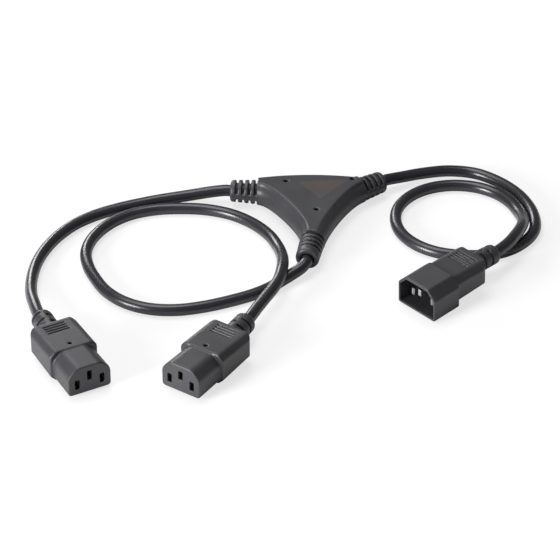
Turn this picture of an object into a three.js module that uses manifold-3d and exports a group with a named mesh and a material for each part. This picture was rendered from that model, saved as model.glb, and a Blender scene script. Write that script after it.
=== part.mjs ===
// Power cord splitter: a mains inlet plug whose cord runs into a Y-shaped moulding,
// where it is spliced to two cords that each end in a line socket.
// Millimetres. +Z up, the whole thing lies on the plane z = 0.
import * as THREE from 'three';
import { mergeVertices } from 'three/addons/utils/BufferGeometryUtils.js';
import Module from 'manifold-3d';

const wasm = await Module();
wasm.setup();

const degree = Math.PI / 180;
const up = new THREE.Vector3(0, 0, 1);
const weldTolerance = 1e-4;

// Gap between a piece and the moulding, carrier or piece next to it
const fitGap = 0.3;
// How far a cutter or a joined piece runs past the face that it must pass
const overrun = 1;

// Cord: a round jacket on three insulated cores
const cordDiameter = 6.6;
const coreDiameter = 2;

// Facets of the round shapes
const cordSides = 10;
const boreSides = 10;
const coreSides = 8;
const coreSteps = 6;
const markSides = 8;
const reliefSides = 16;
const tipSteps = 3;
const slotSteps = 3;
const outlineSteps = 6;
const edgeSteps = 3;
const cornerSteps = 2;

// Y moulding
const bodyThickness = 14;
const bodyEdgeRadius = 6;
const plateauRise = 1;
const plateauInset = 3.5;
const plateauBevel = 0.5;
const armWidth = 14;
const armTrim = 7;
const jacketDepth = 8;
const farSideBulge = 2.5;
const markHoles = [[-15.7, 2], [21.9, 5.4], [1.5, -28]];
const markHoleDiameter = 1.8;
const markHoleDepth = 2;

// Ribbed strain relief on each arm
const armRelief = {
  rootDiameter: armWidth,
  tipDiameter: 12.3,
  length: 15.4,
  tipRadius: 1.5,
  slotWidth: 1.2,
  slotFloorDiameter: 9.8,
  slots: [0, 3.6, 7.2, 10.8].flatMap((start) => [
    { start, from: 13, to: 167 },
    { start, from: 199, to: 341 },
  ]),
};
const stemRelief = { ...armRelief, tipDiameter: 13, length: 17.5 };

// Where each arm of the Y ends, and the heading in which its cord leaves
const arms = {
  left: { end: [-31.1, 4.4], heading: 174.5, pitch: 0, relief: armRelief },
  right: { end: [26.8, 6.7], heading: 36, pitch: 0, relief: armRelief },
  stem: { end: [-0.7, -48.5], heading: 259.7, pitch: -1.2, relief: stemRelief },
};
// How far each hollow side runs on along its two arms before it turns
const leftHollow = { arm: 5, stem: 8 };
const rightHollow = { stem: 15, arm: 11.7 };

// Crimped splices: one barrel for each of the three circuits, in three layers
const spliceLength = 6.6;
const spliceWidth = 5.2;
const spliceThickness = 2.3;
const layerPitch = 2.8;
const splicePair = 1.3;
// Each core's run into its arm past the jacket, and where it turns on its way to the splices
const coreRunIn = { left: 10, right: 6.5, stem: 10 };
const coreTurns = {
  left: [[-9.6, 1.1]],
  right: [[9, 1.2]],
  stem: [[10.2, -16], [12, -7.6], [8, -2]],
};

// Slots in the strain relief of a connector: one side, then the other
const connectorSlots = (starts) => starts.map((start, index) => (
  index % 2 === 0 ? { start, from: 97, to: 213 } : { start, from: -123, to: 83 }
));

// Contacts of both connector kinds: live and neutral below the middle, earth above it
const contactPitch = 14;
const contactOffset = 2;
const pinWidth = 2;
const pinHeight = 4;

// Line socket
const socket = {
  noseWidth: 24,
  noseHeight: 16,
  noseBase: 1.3,
  noseLength: 17.9,
  noseRise: 1.3,
  noseChamfer: 5,
  noseCorner: 1.75,
  gripWidth: 27,
  gripHeight: 18,
  gripBase: 0,
  gripEnd: 44.5,
  gripChamfer: 3,
  gripFootChamfer: 3.2,
  gripRise: 2.8,
  gripFall: 0,
  gripRearRadius: 4,
  edgeBevel: 0.6,
  wall: 1.7,
  faceWall: 1.5,
  pocketDepth: 17.3,
  slotWidth: 2.8,
  slotHeight: 5.2,
  grooveStart: 34.7,
  groovePitch: 2.1,
  grooveCount: 4,
  grooveLength: 12.8,
  markDepth: 22,
  pivotDepth: 33,
  cordHeight: 8.4,
  relief: {
    rootDiameter: 12.6,
    tipDiameter: 11.8,
    length: 31,
    tipRadius: 2.6,
    slotWidth: 1.25,
    slotFloorDiameter: 9.4,
    slots: connectorSlots([17.2, 20.4, 23.6, 26.8]),
  },
  jacketDepth: 29,
};
const pinClearance = 0.1;
const contactWall = 0.4;
const contactLength = 11.6;
const tailLength = 2.6;
const tailSize = 2.2;

// Inlet plug
const plug = {
  shroudWidth: 27.2,
  shroudHeight: 18.8,
  shroudLength: 19.1,
  shroudChamfer: 5.4,
  shroudCorner: 1.5,
  shroudWall: 1.3,
  innerChamfer: 4.9,
  cavityDepth: 16.9,
  gripWidth: 24,
  gripHeight: 16.3,
  gripBase: 1.2,
  gripEnd: 44.2,
  gripChamfer: 3.5,
  gripFootChamfer: 2.2,
  gripRise: 0.8,
  gripFall: 1.3,
  gripRearRadius: 6,
  edgeBevel: 0.5,
  grooveStart: 31.7,
  groovePitch: 1.85,
  grooveCount: 5,
  grooveLength: 13,
  pivotDepth: 34.1,
  cordHeight: 9,
  carrierLength: 8.9,
  carrierMargin: 1.7,
  pinRear: 28.1,
  pinRecess: 4.2,
  earthLead: 2.3,
  pinChamfer: 0.7,
  relief: {
    rootDiameter: 12,
    tipDiameter: 11.2,
    length: 26.5,
    tipRadius: 2.4,
    slotWidth: 1.2,
    slotFloorDiameter: 9.2,
    slots: connectorSlots([13.2, 16, 18.8, 21.6]),
  },
  jacketDepth: 22,
};
const grooveWidth = 0.9;
const grooveDepth = 0.6;

// Where each connector lies: the middle of the foot of its face, and its headings
const places = {
  left: { at: [-115.3, -181.7, 0], yaw: -60.5, pitch: 0, roll: 0, cordYaw: -4.9, cordPitch: 0 },
  middle: { at: [-69.1, -182.7, 0], yaw: -125.1, pitch: 0, roll: 0, cordYaw: 7.9, cordPitch: 0 },
  plug: { at: [54.1, -107.6, 0.35], yaw: -136.8, pitch: -3.7, roll: -1.8, cordYaw: 0, cordPitch: -3.7 },
};

// Route of each cord between its two strain reliefs, chosen by hand
const routes = {
  left: [
    [-57.5, 6.1, 6.1], [-72, 4.3, 4.5], [-88, 0.9, 3.6], [-100, -3.2, 3.3], [-110.5, -7.9, 3.3],
    [-122.1, -14.7, 3.3], [-133, -24.4, 3.3], [-141.5, -36.8, 3.3], [-147.2, -49.4, 3.3],
    [-150.8, -62, 3.3], [-152.4, -74.5, 3.5], [-152.5, -87, 4.4], [-151.3, -99.5, 6],
    [-148.8, -111, 7.6],
  ],
  middle: [
    [-7.4, -73.4, 5.7], [-11.6, -77, 4.7], [-17.4, -82, 3.7], [-24.8, -89.3, 3.3], [-33.2, -95.5, 3.3],
    [-45.1, -101.6, 3.3], [-59.3, -107.2, 3.3], [-73.8, -110.3, 3.3], [-88.2, -109.1, 3.3],
    [-101.2, -103, 3.3], [-111.4, -92.7, 3.3], [-118.2, -80, 3.3], [-123.1, -66.5, 3.3],
    [-124.9, -52.5, 3.3], [-121.6, -37.5, 3.3], [-113.4, -23.6, 3.3], [-102.3, -13.8, 3.3],
    [-88.4, -8.6, 3.3], [-74, -7.4, 3.3], [-60, -8.6, 3.3], [-46, -13.7, 3.3], [-33.6, -23.4, 3.3],
    [-24.6, -35.7, 3.4], [-19.5, -50, 4.6], [-17.5, -62, 6.9], [-17, -72, 9.2], [-17.5, -81.6, 10.5],
    [-19.1, -91, 10.5], [-22.1, -99.4, 10.1], [-26, -107.2, 9.5], [-30.2, -115.6, 8.8],
  ],
  plug: [
    [49.8, 22, 6.1], [63.5, 28.4, 5], [78, 32.7, 4], [92.3, 31.6, 3.3], [104.8, 23.2, 3.3],
    [114.8, 11.1, 3.3], [121.2, -3, 3.3], [123.9, -17.4, 3.3], [122.7, -31, 3.3],
    [116.2, -42.8, 3.3], [106, -51.8, 3.3], [93, -56.4, 3.3], [79.8, -56.4, 3.3],
    [67.2, -53, 3.3], [56.6, -45.4, 3.3], [49.2, -34.4, 3.3], [46.2, -21.4, 3.3],
    [47.8, -7.6, 3.3], [54.6, 4.9, 3.3], [65, 13.6, 3.3], [78, 17.6, 3.3], [91.6, 16.2, 3.3],
    [103.1, 9.8, 3.3], [111.2, -0.4, 3.3], [115.4, -11.6, 3.5], [116.9, -23.4, 5.9],
    [115.7, -33.2, 8.6], [113.4, -41.2, 10.2], [110.3, -48.8, 11.1], [106, -57, 11.5],
  ],
};

// Colours and finishes
const mouldedBlack = { color: 0x1b1b1e, roughness: 0.55, metalness: 0 };
const jacketBlack = { color: 0x141417, roughness: 0.32, metalness: 0 };
const carrierBlack = { color: 0x202022, roughness: 0.6, metalness: 0 };
const plated = { color: 0xc9cacc, roughness: 0.3, metalness: 1 };
const brass = { color: 0xc8a552, roughness: 0.35, metalness: 1 };
const coreFinish = {
  live: { color: 0x6e3f22, roughness: 0.4, metalness: 0 },
  neutral: { color: 0x2b62a8, roughness: 0.4, metalness: 0 },
  earth: { color: 0x6fa02f, roughness: 0.4, metalness: 0 },
};
const circuits = ['live', 'neutral', 'earth'];

// Solids from geometries, and back
function solid(geometry) {
  const bare = geometry.clone();
  bare.deleteAttribute('normal');
  bare.deleteAttribute('uv');
  const merged = mergeVertices(bare, weldTolerance);
  const corners = merged.index.array;
  const triVerts = [];
  for (let i = 0; i < corners.length; i += 3) {
    const [a, b, c] = corners.slice(i, i + 3);
    if (a !== b && b !== c && c !== a) triVerts.push(a, b, c);
  }
  return new wasm.Manifold(new wasm.Mesh({
    numProp: 3,
    vertProperties: new Float32Array(merged.attributes.position.array),
    triVerts: new Uint32Array(triVerts),
  }));
}

function joined(shapes) {
  return shapes.reduce((whole, shape) => whole.add(shape));
}

function meshOf(name, shape, finish) {
  const { vertProperties, triVerts } = shape.getMesh();
  const geometry = new THREE.BufferGeometry();
  geometry.setAttribute('position', new THREE.BufferAttribute(vertProperties, 3));
  geometry.setIndex(new THREE.BufferAttribute(triVerts, 1));
  geometry.computeVertexNormals();
  const mesh = new THREE.Mesh(geometry, new THREE.MeshStandardMaterial(finish));
  mesh.name = name;
  return mesh;
}

// A frame whose +Z runs outwards along an axis, with +Y as near upright as it can be
function frameAlong(origin, outward) {
  const axis = outward.clone().normalize();
  const across = new THREE.Vector3().crossVectors(up, axis).normalize();
  const above = new THREE.Vector3().crossVectors(axis, across);
  return new THREE.Matrix4().makeBasis(across, above, axis).setPosition(origin);
}

function direction(heading, pitch) {
  const flat = Math.cos(pitch * degree);
  return new THREE.Vector3(
    Math.cos(heading * degree) * flat,
    Math.sin(heading * degree) * flat,
    Math.sin(pitch * degree),
  );
}

function pointIn(frame, x, y, z) {
  return new THREE.Vector3(x, y, z).applyMatrix4(frame);
}

function box(size, centre) {
  return solid(new THREE.BoxGeometry(...size).translate(...centre));
}

// A rod or a bore along a frame's +Z
function rod(frame, diameter, start, end, sides) {
  const geometry = new THREE.CylinderGeometry(diameter / 2, diameter / 2, end - start, sides);
  geometry.rotateX(90 * degree);
  geometry.translate(0, 0, (start + end) / 2);
  return solid(geometry.applyMatrix4(frame));
}

// The mark that a core pin leaves in a level top
function markHole(x, y, top) {
  const frame = new THREE.Matrix4().makeTranslation(x, y, top);
  return rod(frame, markHoleDiameter, -markHoleDepth, overrun, markSides);
}

// Diameter of a faceted bore whose flats clear a round piece by the fit gap
function boreAround(diameter, sides) {
  return (diameter + 2 * fitGap) / Math.cos(Math.PI / sides);
}

// A section drawn in X and Z, run back along -Y from a depth behind the face. Towards its
// rear its foot climbs by the rise and its top drops by the fall.
function prism(section, depth, length, bevel, rise = 0, fall = 0) {
  const geometry = new THREE.ExtrudeGeometry(section, {
    depth: length - 2 * bevel,
    bevelEnabled: bevel > 0,
    bevelThickness: bevel,
    bevelSize: bevel,
    bevelOffset: -bevel,
    bevelSegments: 1,
    curveSegments: cornerSteps,
  });
  geometry.translate(0, 0, bevel);
  geometry.rotateX(90 * degree);
  geometry.computeBoundingBox();
  const { min, max } = geometry.boundingBox;
  const place = geometry.attributes.position;
  for (let i = 0; i < place.count; i += 1) {
    const back = -place.getY(i) / length;
    const below = (max.z - place.getZ(i)) / (max.z - min.z);
    place.setZ(i, place.getZ(i) + back * (rise * below - fall * (1 - below)));
  }
  return solid(geometry.translate(0, -depth, 0));
}

// Connector section: chamfered at the top, small round corners at the foot
function connectorSection(width, height, base, chamfer, corner) {
  const half = width / 2;
  const top = base + height;
  const shape = new THREE.Shape();
  shape.moveTo(-half + corner, base);
  shape.lineTo(half - corner, base);
  shape.absarc(half - corner, base + corner, corner, -Math.PI / 2, 0);
  shape.lineTo(half, top - chamfer);
  shape.lineTo(half - chamfer, top);
  shape.lineTo(-half + chamfer, top);
  shape.lineTo(-half, top - chamfer);
  shape.lineTo(-half, base + corner);
  shape.absarc(-half + corner, base + corner, corner, Math.PI, 1.5 * Math.PI);
  return shape;
}

// Grip section: straight chamfers at the top and at the foot
function gripSection(kind) {
  const half = kind.gripWidth / 2;
  const top = kind.gripBase + kind.gripHeight;
  const corners = [
    [half - kind.gripFootChamfer, kind.gripBase],
    [half, kind.gripBase + kind.gripFootChamfer],
    [half, top - kind.gripChamfer],
    [half - kind.gripChamfer, top],
  ].map(([x, z]) => new THREE.Vector2(x, z));
  const mirrored = corners.map(({ x, y }) => new THREE.Vector2(-x, y)).reverse();
  return new THREE.Shape([...corners, ...mirrored]);
}

// A tube through points, with a section at each point when steps is the number of spans
class StationPath extends THREE.CatmullRomCurve3 {
  getUtoTmapping(u) {
    return u;
  }
}

function roundSection(diameter, sides) {
  const shape = new THREE.Shape();
  for (let i = 0; i < sides; i += 1) {
    const turn = (i * 2 * Math.PI) / sides;
    const point = [(diameter / 2) * Math.cos(turn), (diameter / 2) * Math.sin(turn)];
    if (i === 0) shape.moveTo(...point);
    else shape.lineTo(...point);
  }
  return shape;
}

function tube(curve, diameter, sides, steps) {
  return solid(new THREE.ExtrudeGeometry(roundSection(diameter, sides), {
    steps,
    bevelEnabled: false,
    extrudePath: curve,
  }));
}

// Place of a core's centre in the cord's section: earth on top, live and neutral below it
function corePlace(circuit) {
  const radius = (coreDiameter + fitGap) / Math.sqrt(3);
  const turn = { live: 210, neutral: 330, earth: 90 }[circuit] * degree;
  return [radius * Math.cos(turn), radius * Math.sin(turn)];
}

// A core and the channel that it lies in, with the same stations along both
function core(points) {
  const route = new THREE.CatmullRomCurve3(points, false, 'centripetal');
  const stations = route.getSpacedPoints(coreSteps);
  const beyond = (end, next) => end.clone().sub(next).setLength(2 * fitGap).add(end);
  const ends = [beyond(stations[0], stations[1]), beyond(stations.at(-1), stations.at(-2))];
  const along = (places, diameter) => {
    const path = new StationPath(places, false, 'centripetal');
    return tube(path, diameter, coreSides, places.length - 1);
  };
  return {
    wire: along(stations, coreDiameter),
    channel: along([ends[0], ...stations, ends[1]], boreAround(coreDiameter, coreSides)),
  };
}

// Strain relief along a frame: a round, slightly tapered stub with a rounded tip
function reliefBody(frame, relief, start) {
  const root = relief.rootDiameter / 2;
  const tip = relief.tipDiameter / 2;
  const profile = [
    new THREE.Vector2(0, start),
    new THREE.Vector2(root, start),
    new THREE.Vector2(root, Math.max(start, 0)),
  ];
  for (let i = 0; i <= tipSteps; i += 1) {
    const turn = (i / tipSteps) * 90 * degree;
    profile.push(new THREE.Vector2(
      tip - relief.tipRadius * (1 - Math.cos(turn)),
      relief.length - relief.tipRadius * (1 - Math.sin(turn)),
    ));
  }
  profile.push(new THREE.Vector2(0, relief.length));
  const geometry = new THREE.LatheGeometry(profile, reliefSides);
  return solid(geometry.rotateX(90 * degree).applyMatrix4(frame));
}

function reliefSlots(frame, relief) {
  const inner = relief.slotFloorDiameter / 2;
  const outer = relief.rootDiameter / 2 + overrun;
  return joined(relief.slots.map(({ start, from, to }) => {
    const sector = new THREE.Shape();
    sector.absarc(0, 0, outer, from * degree, to * degree);
    sector.absarc(0, 0, inner, to * degree, from * degree, true);
    const geometry = new THREE.ExtrudeGeometry(sector, {
      depth: relief.slotWidth,
      bevelEnabled: false,
      curveSegments: slotSteps,
    });
    return solid(geometry.translate(0, 0, start).applyMatrix4(frame));
  }));
}

// Y moulding: its outline at mid-height, with each arm run on past its end
function armFrame(arm) {
  const origin = new THREE.Vector3(...arm.end, bodyThickness / 2);
  return frameAlong(origin, direction(arm.heading, arm.pitch));
}

function armCorner(arm, side, distance) {
  const outward = direction(arm.heading, 0);
  return new THREE.Vector2(
    arm.end[0] + outward.x * distance - outward.y * side * (armWidth / 2),
    arm.end[1] + outward.y * distance + outward.x * side * (armWidth / 2),
  );
}

function bodyOutline() {
  const { left, right, stem } = arms;
  const shape = new THREE.Shape();
  const lineThrough = (...corners) => corners.forEach(({ x, y }) => shape.lineTo(x, y));
  const hollow = (from, fromSide, fromRun, to, toSide, toRun) => {
    const leave = armCorner(from, fromSide, -fromRun);
    const arrive = armCorner(to, toSide, -toRun);
    const end = armCorner(to, toSide, 0);
    shape.bezierCurveTo(leave.x, leave.y, arrive.x, arrive.y, end.x, end.y);
  };
  const start = armCorner(left, 1, armTrim);
  shape.moveTo(start.x, start.y);
  lineThrough(armCorner(left, 1, 0));
  hollow(left, 1, leftHollow.arm, stem, -1, leftHollow.stem);
  lineThrough(armCorner(stem, -1, armTrim), armCorner(stem, 1, armTrim), armCorner(stem, 1, 0));
  hollow(stem, 1, rightHollow.stem, right, -1, rightHollow.arm);
  lineThrough(armCorner(right, -1, armTrim), armCorner(right, 1, armTrim));
  const farRight = armCorner(right, 1, 0);
  const farLeft = armCorner(left, -1, 0);
  lineThrough(farRight);
  const bulge = farRight.clone().add(farLeft).divideScalar(2);
  shape.quadraticCurveTo(bulge.x, bulge.y + 2 * farSideBulge, farLeft.x, farLeft.y);
  lineThrough(armCorner(left, -1, armTrim));
  return shape;
}

function bodyShell() {
  const outline = bodyOutline();
  const rounded = new THREE.ExtrudeGeometry(outline, {
    depth: bodyThickness - 2 * bodyEdgeRadius,
    bevelThickness: bodyEdgeRadius,
    bevelSize: bodyEdgeRadius,
    bevelOffset: -bodyEdgeRadius,
    bevelSegments: edgeSteps,
    curveSegments: outlineSteps,
  }).translate(0, 0, bodyEdgeRadius);
  const plateauFoot = bodyThickness / 2;
  const plateau = new THREE.ExtrudeGeometry(outline, {
    depth: bodyThickness + plateauRise - plateauFoot - plateauBevel,
    bevelThickness: plateauBevel,
    bevelSize: plateauBevel,
    bevelOffset: -plateauInset - plateauBevel,
    bevelSegments: 1,
    curveSegments: outlineSteps,
  }).translate(0, 0, plateauFoot);
  const trims = Object.values(arms).map((arm) => {
    const reach = armTrim + overrun;
    const block = new THREE.BoxGeometry(armWidth + 2 * overrun, bodyThickness * 2, reach);
    return solid(block.translate(0, 0, reach / 2).applyMatrix4(armFrame(arm)));
  });
  return solid(rounded).add(solid(plateau)).subtract(joined(trims));
}

// Splices at the middle of the Y, stacked by circuit around mid-height
function layerHeight(circuit) {
  return bodyThickness / 2 + { live: -1, neutral: 0, earth: 1 }[circuit] * layerPitch;
}

function splice(circuit, gap) {
  const size = [spliceLength, spliceWidth, spliceThickness].map((length) => length + 2 * gap);
  return box(size, [0, 0, layerHeight(circuit)]);
}

// A core from a jacket's end inside an arm to its splice
function armCore(armName, circuit) {
  const frame = armFrame(arms[armName]);
  const [x, y] = corePlace(circuit);
  const height = layerHeight(circuit);
  const start = -jacketDepth - fitGap;
  const entry = {
    left: [-spliceLength / 2 - fitGap, 0],
    right: [spliceLength / 2 + fitGap, splicePair],
    stem: [spliceLength / 2 + fitGap, -splicePair],
  }[armName];
  return core([
    pointIn(frame, x, y, start),
    pointIn(frame, x, y, start - coreDiameter),
    pointIn(frame, x, 0, -jacketDepth - coreRunIn[armName]).setZ(height),
    ...[...coreTurns[armName], entry].map((turn) => new THREE.Vector3(...turn, height)),
  ]);
}

function splitter() {
  const pieces = [];
  const voids = [];
  for (const circuit of circuits) {
    pieces.push(meshOf(`splice_${circuit}`, splice(circuit, 0), brass));
    voids.push(splice(circuit, fitGap));
    for (const armName of Object.keys(arms)) {
      const { wire, channel } = armCore(armName, circuit);
      pieces.push(meshOf(`core_${armName}_${circuit}`, wire, coreFinish[circuit]));
      voids.push(channel);
    }
  }
  const shell = [bodyShell()];
  for (const arm of Object.values(arms)) {
    const frame = armFrame(arm);
    shell.push(reliefBody(frame, arm.relief, -jacketDepth / 2));
    voids.push(reliefSlots(frame, arm.relief));
    const bore = boreAround(cordDiameter, boreSides);
    voids.push(rod(frame, bore, -jacketDepth - fitGap, arm.relief.length + overrun, boreSides));
  }
  for (const [x, y] of markHoles) voids.push(markHole(x, y, bodyThickness + plateauRise));
  const housing = joined(shell).subtract(joined(voids));
  return [meshOf('splitter_housing', housing, mouldedBlack), ...pieces];
}

// Connectors: +Y out of the face, origin at the middle of the foot of the face
function cordFrame(kind, place) {
  const origin = new THREE.Vector3(0, -kind.pivotDepth, kind.cordHeight);
  return frameAlong(origin, direction(-90 + place.cordYaw, place.cordPitch));
}

function placeMatrix(place) {
  const turn = new THREE.Euler(
    place.pitch * degree,
    place.roll * degree,
    (place.yaw - 90) * degree,
    'ZXY',
  );
  return new THREE.Matrix4().makeRotationFromEuler(turn).setPosition(...place.at);
}

// Rear of a connector: a block with round rear corners, grooves on top and the relief
function gripBlock(kind, frontDepth) {
  const length = kind.gripEnd - frontDepth;
  const block = prism(
    gripSection(kind), frontDepth, length, kind.edgeBevel, kind.gripRise, kind.gripFall,
  );
  const half = kind.gripWidth / 2 + overrun;
  const radius = kind.gripRearRadius;
  const side = kind.gripWidth / 2;
  const plan = new THREE.Shape();
  plan.moveTo(half, overrun);
  plan.lineTo(-half, overrun);
  plan.lineTo(-half, -kind.gripEnd + radius);
  plan.lineTo(-side, -kind.gripEnd + radius);
  plan.absarc(-side + radius, -kind.gripEnd + radius, radius, Math.PI, 1.5 * Math.PI);
  plan.absarc(side - radius, -kind.gripEnd + radius, radius, 1.5 * Math.PI, 2 * Math.PI);
  plan.lineTo(half, -kind.gripEnd + radius);
  const height = kind.gripBase + kind.gripHeight + 2 * overrun;
  const column = new THREE.ExtrudeGeometry(plan, {
    depth: height,
    bevelEnabled: false,
    curveSegments: cornerSteps,
  });
  return block.intersect(solid(column.translate(0, 0, -overrun)));
}

function grooves(kind, frontDepth) {
  const cuts = [];
  for (let i = 0; i < kind.grooveCount; i += 1) {
    const depth = kind.grooveStart + i * kind.groovePitch;
    const back = (depth - frontDepth) / (kind.gripEnd - frontDepth);
    const top = kind.gripBase + kind.gripHeight - kind.gripFall * back;
    cuts.push(box([kind.grooveLength, grooveWidth, 2 * grooveDepth], [0, -depth, top]));
  }
  return joined(cuts);
}

// Contact positions across the face, at a given mid-height of the connector's front
function contactPlace(circuit, middle) {
  const x = { live: -contactPitch / 2, neutral: contactPitch / 2, earth: 0 }[circuit];
  return [x, circuit === 'earth' ? middle + contactOffset : middle - contactOffset];
}

// A core from a contact's tail or pin to the end of the jacket
function contactCore(kind, place, circuit, middle, tailDepth) {
  const frame = cordFrame(kind, place);
  const [x, z] = contactPlace(circuit, middle);
  const [u, v] = corePlace(circuit);
  const jacketEnd = kind.relief.length - kind.jacketDepth - fitGap;
  return core([
    new THREE.Vector3(x, -tailDepth - fitGap, z),
    new THREE.Vector3(x, -tailDepth - fitGap - coreDiameter, z),
    pointIn(frame, u, v, jacketEnd - coreDiameter),
    pointIn(frame, u, v, jacketEnd),
  ]);
}

// The parts of a connector's cord end that are cut from its moulding
function cordVoids(kind, place, frontDepth) {
  const frame = cordFrame(kind, place);
  const start = kind.relief.length - kind.jacketDepth - fitGap;
  const bore = boreAround(cordDiameter, boreSides);
  return [
    reliefSlots(frame, kind.relief),
    rod(frame, bore, start, kind.relief.length + overrun, boreSides),
    grooves(kind, frontDepth),
  ];
}

function contactBlock(circuit, middle, size, depth, length) {
  const [x, z] = contactPlace(circuit, middle);
  return box([size[0], length, size[1]], [x, -depth - length / 2, z]);
}

function lineSocket(name, place) {
  const kind = socket;
  const middle = kind.noseBase + kind.noseHeight / 2;
  const nose = connectorSection(
    kind.noseWidth, kind.noseHeight, kind.noseBase, kind.noseChamfer, kind.noseCorner,
  );
  const pocket = (inset) => connectorSection(
    kind.noseWidth - 2 * inset,
    kind.noseHeight - 2 * inset,
    kind.noseBase + inset,
    kind.noseChamfer - inset / 2,
    kind.noseCorner / 2,
  );
  const outer = joined([
    prism(nose, 0, kind.noseLength + overrun, kind.edgeBevel, kind.noseRise),
    gripBlock(kind, kind.noseLength),
    reliefBody(cordFrame(kind, place), kind.relief, 0),
  ]);
  const pocketLength = kind.pocketDepth - kind.faceWall;
  const voids = [
    ...cordVoids(kind, place, kind.noseLength),
    prism(pocket(kind.wall), kind.faceWall, pocketLength, 0),
  ];
  const chambers = [];
  const pieces = [];
  const tubeSize = [pinWidth, pinHeight].map((size) => size + 2 * (pinClearance + contactWall));
  const contactDepth = kind.faceWall + 2 * fitGap;
  const tailEnd = contactDepth + contactLength + tailLength;
  for (const circuit of circuits) {
    const slotSize = [kind.slotWidth, kind.slotHeight];
    voids.push(contactBlock(circuit, middle, slotSize, -overrun, kind.faceWall + 2 * overrun));
    const chamberSize = tubeSize.map((length) => length + 2 * fitGap);
    chambers.push(contactBlock(circuit, middle, chamberSize, 0, kind.pocketDepth + overrun));
    const inner = tubeSize.map((length) => length - 2 * contactWall);
    const contact = contactBlock(circuit, middle, tubeSize, contactDepth, contactLength)
      .add(contactBlock(circuit, middle, [tailSize, tailSize], contactDepth, tailEnd - contactDepth))
      .subtract(contactBlock(circuit, middle, inner, contactDepth - overrun,
        contactLength + overrun - contactWall));
    pieces.push(meshOf(`${name}_contact_${circuit}`, contact, brass));
    const { wire, channel } = contactCore(kind, place, circuit, middle, tailEnd);
    pieces.push(meshOf(`${name}_core_${circuit}`, wire, coreFinish[circuit]));
    voids.push(channel);
  }
  const carrierLength = pocketLength - 2 * fitGap;
  const carrier = prism(pocket(kind.wall + fitGap), kind.faceWall + fitGap, carrierLength, 0)
    .subtract(joined(chambers));
  voids.push(markHole(0, -kind.markDepth, kind.gripBase + kind.gripHeight));
  const group = new THREE.Group();
  group.add(
    meshOf(`${name}_housing`, outer.subtract(joined(voids)), mouldedBlack),
    meshOf(`${name}_contact_carrier`, carrier, carrierBlack),
    ...pieces,
  );
  group.applyMatrix4(placeMatrix(place));
  return group;
}

// A pin with its tip narrowed on all four sides
function pin(circuit, middle, tipDepth, gap) {
  const [x, z] = contactPlace(circuit, middle);
  const length = plug.pinRear - tipDepth;
  const section = new THREE.Shape([
    new THREE.Vector2(-pinWidth / 2 - gap, -pinHeight / 2 - gap),
    new THREE.Vector2(pinWidth / 2 + gap, -pinHeight / 2 - gap),
    new THREE.Vector2(pinWidth / 2 + gap, pinHeight / 2 + gap),
    new THREE.Vector2(-pinWidth / 2 - gap, pinHeight / 2 + gap),
  ]);
  const geometry = new THREE.ExtrudeGeometry(section, {
    depth: length - 2 * plug.pinChamfer,
    bevelThickness: plug.pinChamfer,
    bevelSize: plug.pinChamfer,
    bevelOffset: -plug.pinChamfer,
    bevelSegments: 1,
  });
  geometry.translate(0, 0, plug.pinChamfer);
  geometry.rotateX(90 * degree);
  return solid(geometry.translate(x, -tipDepth, z));
}

function inletPlug(name, place) {
  const kind = plug;
  const middle = kind.shroudHeight / 2;
  const shroud = connectorSection(
    kind.shroudWidth, kind.shroudHeight, 0, kind.shroudChamfer, kind.shroudCorner,
  );
  const cavity = connectorSection(
    kind.shroudWidth - 2 * kind.shroudWall,
    kind.shroudHeight - 2 * kind.shroudWall,
    kind.shroudWall,
    kind.innerChamfer,
    kind.shroudCorner / 2,
  );
  const outer = joined([
    prism(shroud, 0, kind.shroudLength, kind.edgeBevel),
    gripBlock(kind, kind.cavityDepth),
    reliefBody(cordFrame(kind, place), kind.relief, 0),
  ]);
  const margin = kind.carrierMargin;
  const carrierSize = (gap) => [
    contactPitch + pinWidth + 2 * (margin + gap),
    2 * contactOffset + pinHeight + 2 * (margin + gap),
  ];
  const carrierBox = (gap, depth, length) => {
    const [width, height] = carrierSize(gap);
    return box([width, length, height], [0, -depth - length / 2, middle]);
  };
  const voids = [
    ...cordVoids(kind, place, kind.cavityDepth),
    prism(cavity, -overrun, kind.cavityDepth + overrun, 0),
    carrierBox(fitGap, kind.cavityDepth - fitGap, kind.carrierLength + 2 * fitGap),
  ];
  const pinHoles = [];
  const pieces = [];
  for (const circuit of circuits) {
    const tipDepth = circuit === 'earth' ? kind.pinRecess - kind.earthLead : kind.pinRecess;
    pieces.push(meshOf(`${name}_pin_${circuit}`, pin(circuit, middle, tipDepth, 0), plated));
    const holeSize = [pinWidth + 2 * fitGap, pinHeight + 2 * fitGap];
    const holeLength = kind.pinRear + fitGap - kind.pinRecess;
    const hole = contactBlock(circuit, middle, holeSize, kind.pinRecess, holeLength);
    pinHoles.push(hole);
    const { wire, channel } = contactCore(kind, place, circuit, middle, kind.pinRear);
    pieces.push(meshOf(`${name}_core_${circuit}`, wire, coreFinish[circuit]));
    voids.push(hole, channel);
  }
  const carrier = carrierBox(0, kind.cavityDepth, kind.carrierLength).subtract(joined(pinHoles));
  const group = new THREE.Group();
  group.add(
    meshOf(`${name}_housing`, outer.subtract(joined(voids)), mouldedBlack),
    meshOf(`${name}_pin_carrier`, carrier, carrierBlack),
    ...pieces,
  );
  group.applyMatrix4(placeMatrix(place));
  return group;
}

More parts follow.
